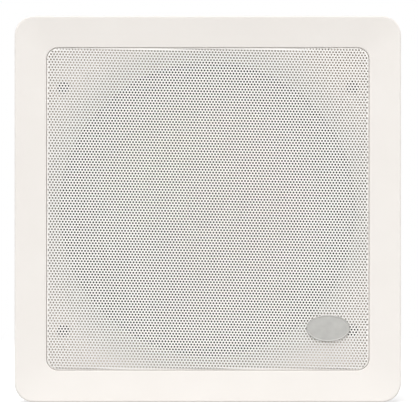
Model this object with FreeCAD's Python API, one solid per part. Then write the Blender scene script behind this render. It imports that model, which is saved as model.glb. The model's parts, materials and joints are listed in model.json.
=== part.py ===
import FreeCAD
import Part
import math
import os

# A square two-way ceiling speaker: a moulded frame that clamps into a ceiling cut-out, a pressed
# steel grille, a coaxial driver, its crossover and four swing-out clamps.
# Millimetres. X is right, Z is up, Y goes into the ceiling. Y = 0 is where the flange meets it.

Vector = FreeCAD.Vector
origin = Vector(0, 0, 0)
depth_axis = Vector(0, 1, 0)

# Flange, as seen in the room
bezel_width = 230.0
bezel_corner = 11.5
rim_front = -8.0
rim_round = 1.0
lip_front = -6.4
lip_round = 0.5
opening_width = 192.3
opening_corner = 7.1

# Hollow back of the flange
channel_floor = -4.4
channel_width = 224.0
rib_thickness = 1.6
ribs_per_side = 7
rib_pitch = 27.0
rib_setback = 0.6
rib_root = 1.0

# Baffle, rear skirt that enters the cut-out, and the round well of the driver
baffle_front = -1.0
baffle_rear = 2.0
skirt_width = 202.0
skirt_corner = 5.0
skirt_wall = 2.5
skirt_rear = 8.0
well_radius = 89.0
well_wall = 2.5
ledge_front = 8.0
ledge_rear = 11.0
ledge_hole_radius = 79.0
gusset_places = (-40.0, 0.0, 40.0)
driver_boss_radius = 3.5
driver_boss_rear = 15.0

# Grille: a pressed pan, and a coarse field that stands for the fine perforation, ten to one
grille_width = 192.0
grille_corner = 6.95
grille_front = -6.2
grille_sheet = 0.8
grille_fold = 1.0
perforation_pitch = 1.8
perforation_hole = 1.0
perforation_turn = 1.2
coarsening = 10
hole_sides = 8
field_margin = 2.5
grip_width = 8.0
grip_setback = 2.0
grip_places = (-60.0, 0.0, 60.0)

# Oval badge on the grille
badge_length = 26.0
badge_height = 16.0
badge_thickness = 1.0
badge_chamfer = 0.5
badge_x = 71.6
badge_z = -71.0

# Woofer
rim_radius = 88.0
basket_rim_front = 6.2
basket_rim_rear = 7.4
basket_sheet = 1.2
basket_wall = 1.0
basket_throat = 76.5
step_radius = 73.0
step_depth = 15.0
landing_outer = 46.0
landing_inner = 38.0
landing_depth = 34.0
base_radius = 34.0
base_hole = 14.5
basket_base = 45.0
window_count = 6
window_inner = 49.0
window_outer = 70.0
window_half_angle = 20.0
surround_sheet = 0.8
surround_outer = 80.0
roll_outer = 76.5
roll_inner = 66.5
gasket_inner = 76.8
gasket_outer = 80.4
gasket_height = 1.5
cone_edge = 66.3
cone_land = 63.0
cone_neck_depth = 31.0
cone_neck_height = 1.2
cone_paper = 0.9
former_outer = 13.2
former_wall = 0.35
former_front = 27.0
former_rear = 57.0
coil_build = 0.7
coil_front = 42.5
coil_rear = 52.5
spider_cloth = 0.8
spider_fold = 1.6
spider_folds = (19.0, 23.0, 27.0, 31.0, 35.0)
spider_land = 38.5
spider_outer = 45.5
tag_strip_half = 6.0
tag_strip_board = 1.6
tag_strip_low = -45.8
tag_strip_high = -39.6
tag_places = (-3.5, 3.5)
driver_screw_circle = 84.3
driver_screw_radius = 1.6
screw_clearance = 0.05

# Magnet system
plate_radius = 43.0
plate_edge = 0.6
front_plate_rear = 50.0
magnet_hole = 22.0
magnet_radius = 45.0
magnet_edge = 1.5
magnet_rear = 65.0
yoke_rear = 70.0
pole_radius = 12.4
pole_front = 44.5
pole_edge = 1.0
gap_radius = 14.3

# Tweeter on its post
post_radius = 3.1
post_bore = 3.2
nut_flats = 11.0
nut_height = 4.0
tweeter_radius = 19.5
tweeter_seat = 11.0
tweeter_rim = -0.5
dome_radius = 11.6
cup_radius = 14.0
cup_front = 1.2
cup_rear = 9.2
cup_floor = 7.6
tweeter_magnet_front = 4.0

# Crossover board
board_rear = 14.6
board_thickness = 1.6
board_half_length = 46.0
board_low = -97.0
board_high = -79.5
standoff_x = 41.0
standoff_z = -90.0
standoff_radius = 3.2
pilot_radius = 1.25
pilot_front = 3.0
inductor_x = -1.5
inductor_z = -88.2
bobbin_core = 4.0
bobbin_flange = 1.2
bobbin_height = 10.0

# Terminal block and its two levers
block_low_x = 11.0
block_high_x = 36.0
block_high_z = -80.0
block_rear = 27.0
lever_places = (17.5, 29.5)
lever_half_width = 4.5
lever_pivot_y = 24.0
lever_pivot_z = -83.6

# Clamps: a screw through a stop tower, an arm that swings out and is drawn to the flange
clamp_x = 86.3
clamp_z = 72.6
recess_radius = 3.75
recess_floor = 8.0
boss_radius = 6.0
boss_rear = 10.5
shank_radius = 2.0
shank_hole = 2.2
tower_rear = 56.0
bridge_front = 53.0
hub_radius = 5.5
hub_front = 42.0
hub_rear = 52.0
insert_radius = 3.6
insert_bore = 2.05
arm_reach = 26.0
stop_gap = 0.3
stop_wall = 2.5
inner_wall_reach = 18.0
lower_wall_reach = 11.0
bridge_reach = 4.5
web_height = 32.0
web_foot = 7.0
web_offset = 2.0


# Building blocks

def closed_face(points, place):
    # A flat face from pairs. An entry of four numbers is an arc: a point on it, then its end.
    edges = []
    here = place(*points[0])
    for step in points[1:] + points[:1]:
        there = place(*step[-2:])
        if len(step) == 4:
            edges.append(Part.Arc(here, place(*step[:2]), there).toShape())
        elif (there - here).Length > 1e-6:
            edges.append(Part.LineSegment(here, there).toShape())
        here = there
    return Part.Face(Part.Wire(edges))


def turned(points):
    # A solid of revolution about the speaker's axis, from (radius, depth) pairs.
    face = closed_face(points, lambda radius, depth: Vector(radius, depth, 0))
    return face.revolve(origin, depth_axis, 360)


def disc(radius, front, rear, x=0.0, z=0.0):
    return Part.makeCylinder(radius, rear - front, Vector(x, front, z), depth_axis)


def ring(inner, outer, front, rear, x=0.0, z=0.0):
    return disc(outer, front, rear, x, z).cut(disc(inner, front, rear, x, z))


def block(x0, x1, y0, y1, z0, z1):
    return Part.makeBox(x1 - x0, y1 - y0, z1 - z0, Vector(x0, y0, z0))


def square_face(width, corner, depth):
    # A square with round corners, facing the room at the given depth.
    half = width / 2
    flat = half - corner
    bend = flat + corner * math.sqrt(0.5)
    points = [
        (half, flat),
        (bend, bend, flat, half),
        (-flat, half),
        (-bend, bend, -half, flat),
        (-half, -flat),
        (-bend, -bend, -flat, -half),
        (flat, -half),
        (bend, -bend, half, -flat),
    ]
    return closed_face(points, lambda x, z: Vector(x, depth, z))


def square_plate(width, corner, front, rear):
    return square_face(width, corner, front).extrude(Vector(0, rear - front, 0))


def square_ring(width, corner, wall, front, rear):
    outside = square_plate(width, corner, front, rear)
    return outside.cut(square_plate(width - 2 * wall, corner - wall, front, rear))


def edges_at(shape, depth):
    return [e for e in shape.Edges if all(abs(v.Y - depth) < 1e-6 for v in e.Vertexes)]


def turned_about_axis(shape, degrees):
    copy = shape.copy()
    copy.rotate(origin, depth_axis, degrees)
    return copy


def four_sides(shape):
    return [turned_about_axis(shape, 90 * side) for side in range(4)]


def on_circle(radius, degrees):
    angle = math.radians(degrees)
    return radius * math.cos(angle), radius * math.sin(angle)


def hexagon(across_flats, front, rear):
    radius = across_flats / math.sqrt(3)
    points = [on_circle(radius, 60 * corner) for corner in range(6)]
    return closed_face(points, lambda x, z: Vector(x, front, z)).extrude(Vector(0, rear - front, 0))


def cross_slot(head_front, length, width, sink, x, z):
    across = block(x - length, x + length, head_front, head_front + sink, z - width, z + width)
    along = block(x - width, x + width, head_front, head_front + sink, z - length, z + length)
    return across.fuse(along)


def driver_screw_places():
    return [on_circle(driver_screw_circle, 45 + 90 * corner) for corner in range(4)]


# Moulded frame

def flange():
    # The flange dishes gently from its rounded rim to the rounded lip round the grille.
    plate = square_plate(bezel_width, bezel_corner, rim_front, 0)
    plate = plate.makeFillet(rim_round, edges_at(plate, rim_front))
    mouth = square_face(bezel_width - 2 * rim_round, bezel_corner - rim_round, rim_front).OuterWire
    lip = square_face(opening_width, opening_corner, lip_front).OuterWire
    dish = Part.makeLoft([mouth, lip], True, True)
    pocket = square_plate(opening_width, opening_corner, lip_front, baffle_front)
    plate = plate.cut([dish, pocket])
    plate = plate.makeFillet(lip_round, edges_at(plate, lip_front))
    channel_corner = bezel_corner - (bezel_width - channel_width) / 2
    channel = square_plate(channel_width, channel_corner, channel_floor, 0)
    return plate.cut(channel.cut(square_plate(skirt_width, skirt_corner, channel_floor, 0)))


def flange_ribs():
    # Cross ribs stiffen the hollow back of the flange and stop short of the ceiling.
    half_rib = rib_thickness / 2
    middle = (ribs_per_side - 1) / 2
    ribs = []
    for number in range(ribs_per_side):
        x = rib_pitch * (number - middle)
        rib = block(x - half_rib, x + half_rib, channel_floor - rib_root, -rib_setback,
                    skirt_width / 2 - rib_root, channel_width / 2 + rib_root)
        ribs += four_sides(rib)
    return ribs


def grips():
    # Small ribs on the opening's wall hold the grille by friction.
    bars = []
    for x in grip_places:
        bar = block(x - grip_width / 2, x + grip_width / 2, lip_front + grip_setback, baffle_front,
                    grille_width / 2, opening_width / 2 + rib_root)
        bars += four_sides(bar)
    return bars


def gussets():
    # Ribs on the back tie the well to the skirt, square to each side and out to the corners.
    half_rib = rib_thickness / 2
    skirt_inner = skirt_width / 2 - skirt_wall
    walls = []
    for x in gusset_places:
        start = math.sqrt((well_radius + well_wall / 2) ** 2 - x ** 2)
        walls += four_sides(block(x - half_rib, x + half_rib, 0, skirt_rear, start, skirt_inner + rib_root))
    corner_reach = (skirt_inner - skirt_corner) * math.sqrt(2) + skirt_corner
    corner = block(-half_rib, half_rib, 0, skirt_rear, well_radius + rib_root, corner_reach)
    walls += [turned_about_axis(corner, 45 + 90 * side) for side in range(4)]
    return walls


def buttress():
    # A thin triangular web behind a stop wall, foot on the baffle.
    wall = -hub_radius - stop_gap - stop_wall
    root = wall + stop_wall / 2
    toe = wall - web_foot
    points = [(root, 0), (toe, 0), (toe, baffle_rear + rib_root), (root, web_height)]
    web = closed_face(points, lambda x, y: Vector(x, y, web_offset))
    return web.extrude(Vector(0, 0, rib_thickness))


def clamp_tower():
    # The stop walls of a tower stand round the screw on the sides that the arm never sweeps.
    near = -hub_radius - stop_gap
    far = near - stop_wall
    inner_wall = block(far, near, 0, tower_rear, far, inner_wall_reach)
    lower_wall = block(far, lower_wall_reach, 0, tower_rear, far, near)
    bridge = block(far, bridge_reach, bridge_front, tower_rear, far, bridge_reach)
    boss = disc(boss_radius, baffle_front, boss_rear)
    inner_web = buttress()
    lower_web = inner_web.mirror(origin, Vector(1, 0, -1))
    return inner_wall.fuse([lower_wall, bridge, boss, inner_web, lower_web])


def clamp_places():
    # Name, place and turn of each clamp. The left-hand ones are the right-hand ones turned half round.
    return [
        ("upper_right", clamp_x, clamp_z, 0),
        ("lower_right", clamp_x, -clamp_z, 0),
        ("upper_left", -clamp_x, clamp_z, 180),
        ("lower_left", -clamp_x, -clamp_z, 180),
    ]


def placed(shape, x, z, turn):
    copy = turned_about_axis(shape, turn)
    copy.translate(Vector(x, 0, z))
    return copy


def frame_holes():
    holes = [disc(well_radius, baffle_front, ledge_front)]
    holes.append(disc(ledge_hole_radius, ledge_front, ledge_rear))
    for name, x, z, turn in clamp_places():
        holes.append(disc(recess_radius, baffle_front, recess_floor, x, z))
        holes.append(disc(shank_hole, recess_floor, tower_rear, x, z))
    for x, z in driver_screw_places():
        holes.append(disc(driver_screw_radius + screw_clearance, ledge_front, driver_boss_rear, x, z))
    for x in (-standoff_x, standoff_x):
        holes.append(disc(pilot_radius, pilot_front, board_rear - board_thickness, x, standoff_z))
    return holes


def baffle_frame():
    pieces = [square_plate(skirt_width, skirt_corner, baffle_front, baffle_rear)]
    pieces.append(square_ring(skirt_width, skirt_corner, skirt_wall, 0, skirt_rear))
    pieces.append(disc(well_radius + well_wall, baffle_front, ledge_rear))
    pieces += flange_ribs() + grips() + gussets()
    tower = clamp_tower()
    pieces += [placed(tower, x, z, turn) for name, x, z, turn in clamp_places()]
    for x, z in driver_screw_places():
        pieces.append(disc(driver_boss_radius, ledge_front, driver_boss_rear, x, z))
    for x in (-standoff_x, standoff_x):
        pieces.append(disc(standoff_radius, 0, board_rear - board_thickness, x, standoff_z))
    return flange().fuse(pieces).removeSplitter().cut(frame_holes())


# Grille and badge

def perforations():
    # A staggered field of holes, its rows a little out of square with the frame as pressed.
    pitch = perforation_pitch * coarsening
    radius = perforation_hole * coarsening / 2
    limit = grille_width / 2 - grille_sheet - field_margin - radius
    count = int(grille_width / pitch)
    outline = [on_circle(radius, 360 * corner / hole_sides) for corner in range(hole_sides)]
    hole = closed_face(outline, lambda x, z: Vector(x, grille_front - grille_sheet, z))
    hole = hole.extrude(Vector(0, 3 * grille_sheet, 0))
    holes = []
    for row in range(-count, count + 1):
        for column in range(-count, count + 1):
            place = Vector(pitch * (column + 0.5 * (row % 2)), 0, pitch * row * math.sqrt(0.75))
            place = FreeCAD.Rotation(depth_axis, perforation_turn).multVec(place)
            if max(abs(place.x), abs(place.z)) <= limit:
                copy = hole.copy()
                copy.translate(place)
                holes.append(copy)
    return holes


def grille():
    pan = square_plate(grille_width, grille_corner, grille_front, baffle_front)
    pan = pan.makeFillet(grille_fold, edges_at(pan, grille_front))
    inside = square_plate(grille_width - 2 * grille_sheet, grille_corner - grille_sheet,
                          grille_front + grille_sheet, baffle_front)
    return pan.cut(inside).cut(perforations())


def badge():
    front = grille_front - badge_thickness
    oval = Part.Ellipse(origin, badge_length / 2, badge_height / 2).toShape()
    plate = Part.Face(Part.Wire(oval)).extrude(Vector(0, 0, badge_thickness))
    plate.rotate(origin, Vector(1, 0, 0), -90)
    plate.translate(Vector(badge_x, front, badge_z))
    return plate.makeChamfer(badge_chamfer, edges_at(plate, front))


# Woofer

def driver_seal():
    setback, hole = 0.2, 2.0
    seal = ring(ledge_hole_radius + setback, rim_radius, basket_rim_rear, ledge_front)
    return seal.cut([disc(hole, basket_rim_rear, ledge_front, x, z) for x, z in driver_screw_places()])


def basket():
    # Pressed steel: rim, step, tapered wall with windows, spider landing and base.
    front = basket_rim_front
    wall = basket_wall
    inside = [
        (rim_radius, front), (basket_throat, front), (step_radius, step_depth),
        (landing_outer, landing_depth), (landing_inner, landing_depth),
        (base_radius, basket_base - basket_sheet), (base_hole, basket_base - basket_sheet),
    ]
    outside = [
        (base_hole, basket_base), (base_radius + wall, basket_base),
        (landing_inner + wall, landing_depth + basket_sheet),
        (landing_outer + wall / 2, landing_depth + basket_sheet), (step_radius + wall, step_depth + wall),
        (basket_throat + wall, basket_rim_rear), (rim_radius, basket_rim_rear),
    ]
    screw_hole = driver_screw_radius + 4 * screw_clearance
    holes = [disc(screw_hole, front, basket_rim_rear, x, z) for x, z in driver_screw_places()]
    holes += [window(360 / window_count * number) for number in range(window_count)]
    return turned(inside + outside).cut(holes)


def window(degrees):
    front, rear = 12.0, 38.0
    start, end = degrees - window_half_angle, degrees + window_half_angle
    points = [
        on_circle(window_inner, start),
        on_circle(window_outer, start),
        on_circle(window_outer, degrees) + on_circle(window_outer, end),
        on_circle(window_inner, end),
        on_circle(window_inner, degrees) + on_circle(window_inner, start),
    ]
    return closed_face(points, lambda x, z: Vector(x, front, z)).extrude(Vector(0, rear - front, 0))


def surround():
    # A half roll of rubber between the basket's rim and the cone's edge.
    rear = basket_rim_front
    front = rear - surround_sheet
    middle = (roll_outer + roll_inner) / 2
    crest = front - (roll_outer - roll_inner) / 2
    profile = [
        (surround_outer, front), (roll_outer, front), (middle, crest, roll_inner, front), (cone_land, front),
        (cone_land, rear), (roll_inner + surround_sheet, rear),
        (middle, crest + surround_sheet, roll_outer - surround_sheet, rear), (surround_outer, rear),
    ]
    return turned(profile)


def rim_gasket():
    rear = basket_rim_front - surround_sheet
    return ring(gasket_inner, gasket_outer, rear - gasket_height, rear)


def cone():
    edge = basket_rim_front
    bend = 0.2
    return turned([
        (cone_edge, edge), (cone_land, edge), (former_outer, cone_neck_depth),
        (former_outer, cone_neck_depth + cone_neck_height), (cone_land - bend, edge + cone_paper + bend),
        (cone_edge, edge + cone_paper),
    ])


def coil_former():
    return ring(former_outer - former_wall, former_outer, former_front, former_rear)


def voice_coil():
    return ring(former_outer, former_outer + coil_build, coil_front, coil_rear)


def spider():
    # A corrugated disc that centres the coil, glued to the landing and the former.
    front, rear = landing_depth - spider_cloth, landing_depth
    upper = [(spider_outer, front), (spider_land, front)]
    lower = [(spider_land, rear), (spider_outer, rear)]
    for number, radius in enumerate(reversed(spider_folds)):
        rise = 0 if number % 2 else spider_fold
        upper.append((radius, front - rise))
        lower.insert(0, (radius, rear - rise))
    return turned(upper + [(former_outer, front), (former_outer, rear)] + lower)


def front_plate():
    return turned([
        (gap_radius, basket_base), (plate_radius - plate_edge, basket_base),
        (plate_radius, basket_base + plate_edge), (plate_radius, front_plate_rear),
        (gap_radius, front_plate_rear),
    ])


def magnet():
    return turned([
        (magnet_hole, front_plate_rear), (magnet_radius - magnet_edge, front_plate_rear),
        (magnet_radius, front_plate_rear + magnet_edge), (magnet_radius, magnet_rear - magnet_edge),
        (magnet_radius - magnet_edge, magnet_rear), (magnet_hole, magnet_rear),
    ])


def yoke():
    # Back plate and pole in one turned piece, bored for the tweeter's post.
    return turned([
        (post_bore, pole_front), (pole_radius - pole_edge, pole_front), (pole_radius, pole_front + pole_edge),
        (pole_radius, magnet_rear - pole_edge), (pole_radius + pole_edge, magnet_rear),
        (plate_radius, magnet_rear), (plate_radius, yoke_rear - magnet_edge),
        (plate_radius - magnet_edge, yoke_rear), (post_bore, yoke_rear),
    ])


def driver_screws():
    head_radius, head_height, tip_setback = 3.0, 2.0, 0.5
    slot_length, slot_width, slot_sink = 1.6, 0.4, 1.0
    top = basket_rim_front - head_height
    screws = []
    for x, z in driver_screw_places():
        head = disc(head_radius, top, basket_rim_front, x, z)
        shank = disc(driver_screw_radius, basket_rim_front, driver_boss_rear - tip_setback, x, z)
        screws.append(head.fuse(shank).cut(cross_slot(top, slot_length, slot_width, slot_sink, x, z)))
    return Part.makeCompound(screws)


def tag_strip():
    front = landing_depth + basket_sheet
    return block(-tag_strip_half, tag_strip_half, front, front + tag_strip_board,
                 tag_strip_low, tag_strip_high)


def lead_tags():
    # Two bent tags, each a foot on the strip and a blade that the lead wires are soldered to.
    brass, half, blade_height, setback = 0.6, 1.4, 5.0, 0.2
    start = landing_depth + basket_sheet + tag_strip_board
    low = tag_strip_low + setback
    tags = []
    for x in tag_places:
        foot = block(x - half, x + half, start, start + brass, low + brass, tag_strip_high - setback)
        blade = block(x - half, x + half, start, start + blade_height, low, low + brass)
        tags.append(foot.fuse(blade))
    return Part.makeCompound(tags)


# Tweeter

def tweeter_post():
    # A turned post: head under the tweeter, stem, foot on the pole and threaded end through the yoke.
    head, stem, foot = 9.0, 4.5, 6.0
    head_rear, taper_rear = tweeter_seat + 3.0, tweeter_seat + 5.0
    foot_front, foot_taper, post_end = pole_front - 5.0, pole_front - 6.0, yoke_rear + 5.0
    return turned([
        (0, tweeter_seat), (head, tweeter_seat), (head, head_rear), (stem, taper_rear), (stem, foot_taper),
        (foot, foot_front), (foot, pole_front), (post_radius, pole_front), (post_radius, post_end),
        (0, post_end),
    ])


def post_nut():
    nut_rear = yoke_rear + nut_height
    return hexagon(nut_flats, yoke_rear, nut_rear).cut(disc(post_bore, yoke_rear, nut_rear))


def tweeter_housing():
    waist, foot, bore = 3.0, 16.5, cup_radius + 0.1
    return turned([
        (tweeter_radius, tweeter_rim), (tweeter_radius, waist), (foot, tweeter_seat), (0, tweeter_seat),
        (0, cup_rear), (bore, cup_rear), (bore, tweeter_rim),
    ])


def tweeter_cup():
    inner = 12.6
    return disc(cup_radius, cup_front, cup_rear).cut(disc(inner, cup_front, cup_floor))


def tweeter_magnet():
    radius = 10.0
    return disc(radius, tweeter_magnet_front, cup_floor)


def tweeter_pole_plate():
    radius, front = 10.4, 2.2
    return disc(radius, front, tweeter_magnet_front)


def tweeter_coil():
    wire, rear = 0.5, 4.4
    return ring(dome_radius - wire, dome_radius, cup_front, rear)


def tweeter_dome():
    # A silk dome with a flat rim that rests on the cup.
    film, crest = 0.4, -2.8
    front = cup_front - film
    rise = front - crest
    radius = (dome_radius ** 2 + rise ** 2) / (2 * rise)
    middle = dome_radius / 2
    bow = crest + radius - math.sqrt(radius ** 2 - middle ** 2)
    return turned([
        (cup_radius, front), (dome_radius, front), (middle, bow, 0, crest), (0, crest + film),
        (middle, bow + film, dome_radius - film, cup_front), (cup_radius, cup_front),
    ])


def tweeter_faceplate():
    # A ring with a flared mouth that holds the dome's rim down on the cup.
    throat, mouth, seat = 12.3, 13.6, 0.8
    flare, front, chamfer = -0.4, -2.2, 0.6
    return turned([
        (throat, seat), (cup_radius, seat), (cup_radius, tweeter_rim), (tweeter_radius, tweeter_rim),
        (tweeter_radius, front + chamfer), (tweeter_radius - chamfer, front), (mouth, front), (throat, flare),
    ])


# Crossover

def crossover_board():
    hole = 1.7
    board = block(-board_half_length, board_half_length, board_rear - board_thickness, board_rear,
                  board_low, board_high)
    return board.cut([disc(hole, 0, board_rear, x, standoff_z) for x in (-standoff_x, standoff_x)])


def board_screws():
    head_radius, head_height, shank, length = 2.8, 1.8, 1.2, 9.0
    screws = []
    for x in (-standoff_x, standoff_x):
        head = disc(head_radius, board_rear, board_rear + head_height, x, standoff_z)
        screws.append(head.fuse(disc(shank, board_rear - length, board_rear, x, standoff_z)))
    return Part.makeCompound(screws)


def crossover_capacitor():
    radius, length, start, level, chamfer = 5.0, 22.0, -35.5, -85.0, 0.8
    body = Part.makeCylinder(radius, length, Vector(start, board_rear + radius, level), Vector(1, 0, 0))
    return body.makeChamfer(chamfer, [e for e in body.Edges if e.Closed])


def crossover_resistor():
    start, end, low, high, height, chamfer = -35.0, -14.0, -96.3, -91.0, 5.5, 0.6
    body = block(start, end, board_rear, board_rear + height, low, high)
    return body.makeChamfer(chamfer, edges_at(body, board_rear + height))


def inductor_bobbin():
    radius = 8.5
    rear = board_rear + bobbin_height
    core = disc(bobbin_core, board_rear, rear, inductor_x, inductor_z)
    foot = disc(radius, board_rear, board_rear + bobbin_flange, inductor_x, inductor_z)
    return core.fuse([foot, disc(radius, rear - bobbin_flange, rear, inductor_x, inductor_z)])


def inductor_winding():
    radius = 7.8
    rear = board_rear + bobbin_height
    return ring(bobbin_core, radius, board_rear + bobbin_flange, rear - bobbin_flange, inductor_x, inductor_z)


def lever_pocket(x):
    # The room that a lever swings in, its two pivot holes and the wire's way in from below.
    half = lever_half_width + 0.4
    floor, low, high = 18.5, -95.2, lever_pivot_z + 2.2
    pivot_radius, pivot_depth = 1.0, 0.9
    wire_radius, wire_level, wire_length = 1.8, 20.8, 3.0
    room = block(x - half, x + half, floor, block_rear, low, high)
    pivot_start = Vector(x - half - pivot_depth, lever_pivot_y, lever_pivot_z)
    pivot = Part.makeCylinder(pivot_radius, 2 * (half + pivot_depth), pivot_start, Vector(1, 0, 0))
    wire_way = Part.makeCylinder(wire_radius, wire_length, Vector(x, wire_level, board_low), Vector(0, 0, 1))
    return room.fuse([pivot, wire_way])


def terminal_block():
    body = block(block_low_x, block_high_x, board_rear, block_rear, board_low, block_high_z)
    return body.cut([lever_pocket(x) for x in lever_places])


def terminal_lever(x):
    # Side view: a round hub, a flat blade and a raised tip that the finger presses.
    hub, tip = 1.8, -94.0
    y, z = lever_pivot_y, lever_pivot_z
    under, over, raised = y - 1.0, y + 2.0, y + 4.5
    profile = [
        (y + hub, z), (y, z + hub, y - hub, z), (under, z - 3.0), (under, tip), (raised, tip),
        (raised, tip + 1.5), (over, tip + 3.5), (over, z - 2.0),
    ]
    face = closed_face(profile, lambda v, w: Vector(x - lever_half_width, v, w))
    body = face.extrude(Vector(2 * lever_half_width, 0, 0))
    pin, pin_half = 0.9, lever_half_width + 1.0
    trunnion = Part.makeCylinder(pin, 2 * pin_half, Vector(x - pin_half, y, z), Vector(1, 0, 0))
    return body.fuse(trunnion).removeSplitter()


# Clamps

def clamp_screw():
    head_radius, head_height = 3.5, 2.8
    slot_length, slot_width, slot_sink = 2.0, 0.5, 1.4
    top = recess_floor - head_height
    head = disc(head_radius, top, recess_floor)
    shank = disc(shank_radius, recess_floor, tower_rear)
    return head.fuse(shank).cut(cross_slot(top, slot_length, slot_width, slot_sink, 0, 0))


def clamp_insert():
    return ring(insert_bore, insert_radius, hub_front, hub_rear)


def clamp_arm():
    # A dog-leg arm with a round tip and a grooved pad that faces the flange.
    pad_front, back = hub_front - 4.0, hub_rear - 2.0
    knee, pad_start = 13.0, 17.0
    groove_sink, groove_width, groove_places = 0.7, 1.0, (19.0, 21.5, 24.0)
    side = [
        (0, hub_front), (knee, hub_front), (pad_start, pad_front), (arm_reach, pad_front),
        (arm_reach, hub_front), (pad_start, back), (0, back),
    ]
    leg = closed_face(side, lambda z, y: Vector(-hub_radius, y, z)).extrude(Vector(2 * hub_radius, 0, 0))
    round_start = arm_reach - hub_radius
    plan = [
        (-hub_radius, 0), (-hub_radius, round_start), (0, arm_reach, hub_radius, round_start),
        (hub_radius, 0),
    ]
    outline = closed_face(plan, lambda x, z: Vector(x, pad_front, z))
    outline = outline.extrude(Vector(0, hub_rear - pad_front, 0))
    grooves = [
        block(-hub_radius, hub_radius, pad_front, pad_front + groove_sink, z, z + groove_width)
        for z in groove_places
    ]
    arm = leg.common(outline).fuse(disc(hub_radius, hub_front, hub_rear)).removeSplitter()
    return arm.cut(grooves + [disc(insert_radius + screw_clearance, hub_front, hub_rear)])


def all_parts():
    parts = {
        "baffle_frame": baffle_frame(),
        "grille": grille(),
        "badge": badge(),
        "driver_seal": driver_seal(),
        "basket": basket(),
        "surround": surround(),
        "rim_gasket": rim_gasket(),
        "cone": cone(),
        "coil_former": coil_former(),
        "voice_coil": voice_coil(),
        "spider": spider(),
        "front_plate": front_plate(),
        "magnet": magnet(),
        "yoke": yoke(),
        "driver_screws": driver_screws(),
        "tag_strip": tag_strip(),
        "lead_tags": lead_tags(),
        "tweeter_post": tweeter_post(),
        "post_nut": post_nut(),
        "tweeter_housing": tweeter_housing(),
        "tweeter_cup": tweeter_cup(),
        "tweeter_magnet": tweeter_magnet(),
        "tweeter_pole_plate": tweeter_pole_plate(),
        "tweeter_coil": tweeter_coil(),
        "tweeter_dome": tweeter_dome(),
        "tweeter_faceplate": tweeter_faceplate(),
        "crossover_board": crossover_board(),
        "board_screws": board_screws(),
        "crossover_capacitor": crossover_capacitor(),
        "crossover_resistor": crossover_resistor(),
        "inductor_bobbin": inductor_bobbin(),
        "inductor_winding": inductor_winding(),
        "terminal_block": terminal_block(),
        "terminal_lever_red": terminal_lever(lever_places[0]),
        "terminal_lever_black": terminal_lever(lever_places[1]),
    }
    for name, x, z, turn in clamp_places():
        parts["clamp_screw_" + name] = placed(clamp_screw(), x, z, turn)
        parts["clamp_insert_" + name] = placed(clamp_insert(), x, z, turn)
        parts["clamp_arm_" + name] = placed(clamp_arm(), x, z, turn)
    return parts


os.makedirs("parts", exist_ok=True)
for node, shape in all_parts().items():
    shape.exportStep("parts/" + node + ".step")
    print(node, "solids", len(shape.Solids), "valid", shape.isValid(), "volume", round(shape.Volume, 1))
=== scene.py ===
import json
import math
import bmesh
import bpy
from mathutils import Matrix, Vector
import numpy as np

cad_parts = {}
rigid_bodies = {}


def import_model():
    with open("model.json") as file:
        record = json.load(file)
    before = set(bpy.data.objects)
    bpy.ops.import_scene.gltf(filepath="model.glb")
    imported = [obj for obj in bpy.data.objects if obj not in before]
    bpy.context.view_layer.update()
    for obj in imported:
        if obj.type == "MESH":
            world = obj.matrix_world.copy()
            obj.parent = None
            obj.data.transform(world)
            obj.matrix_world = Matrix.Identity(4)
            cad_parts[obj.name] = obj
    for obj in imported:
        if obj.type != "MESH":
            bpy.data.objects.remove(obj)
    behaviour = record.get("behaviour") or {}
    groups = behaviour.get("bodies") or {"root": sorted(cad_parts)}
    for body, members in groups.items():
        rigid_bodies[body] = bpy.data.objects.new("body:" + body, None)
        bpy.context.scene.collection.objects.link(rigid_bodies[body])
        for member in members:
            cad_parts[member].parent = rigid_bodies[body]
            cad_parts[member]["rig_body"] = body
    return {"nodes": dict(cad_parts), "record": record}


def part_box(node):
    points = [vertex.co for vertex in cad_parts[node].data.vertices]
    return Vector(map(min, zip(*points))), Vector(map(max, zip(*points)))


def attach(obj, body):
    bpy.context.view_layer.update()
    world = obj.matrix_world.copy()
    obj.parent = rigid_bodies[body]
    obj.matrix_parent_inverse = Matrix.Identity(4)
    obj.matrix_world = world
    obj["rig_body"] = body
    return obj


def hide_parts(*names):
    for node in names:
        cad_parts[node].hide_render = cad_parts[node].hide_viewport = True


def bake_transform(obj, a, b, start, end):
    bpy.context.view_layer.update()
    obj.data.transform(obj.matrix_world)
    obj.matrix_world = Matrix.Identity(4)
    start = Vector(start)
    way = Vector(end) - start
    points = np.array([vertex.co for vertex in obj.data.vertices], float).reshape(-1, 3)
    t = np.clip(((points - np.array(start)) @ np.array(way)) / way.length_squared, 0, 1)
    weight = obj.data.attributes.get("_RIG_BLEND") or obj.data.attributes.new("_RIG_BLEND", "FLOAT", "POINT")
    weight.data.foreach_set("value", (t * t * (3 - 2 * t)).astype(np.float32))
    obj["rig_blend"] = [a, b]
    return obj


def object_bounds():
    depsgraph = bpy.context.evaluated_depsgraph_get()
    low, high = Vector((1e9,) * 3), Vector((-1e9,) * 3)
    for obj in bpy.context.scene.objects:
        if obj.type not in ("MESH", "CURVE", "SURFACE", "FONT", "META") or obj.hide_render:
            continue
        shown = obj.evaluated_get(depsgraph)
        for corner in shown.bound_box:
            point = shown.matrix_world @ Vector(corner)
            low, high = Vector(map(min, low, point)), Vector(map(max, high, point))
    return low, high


# Looks of the ceiling speaker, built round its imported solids.
# Metres. X is right, Y goes into the ceiling, Z is up.
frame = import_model()
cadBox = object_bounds()
nodes = frame["nodes"]
scene = bpy.context.scene
scene.view_settings.view_transform = "Standard"
mm = 0.001
print("frame loaded:", len(nodes), "nodes")


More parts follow.
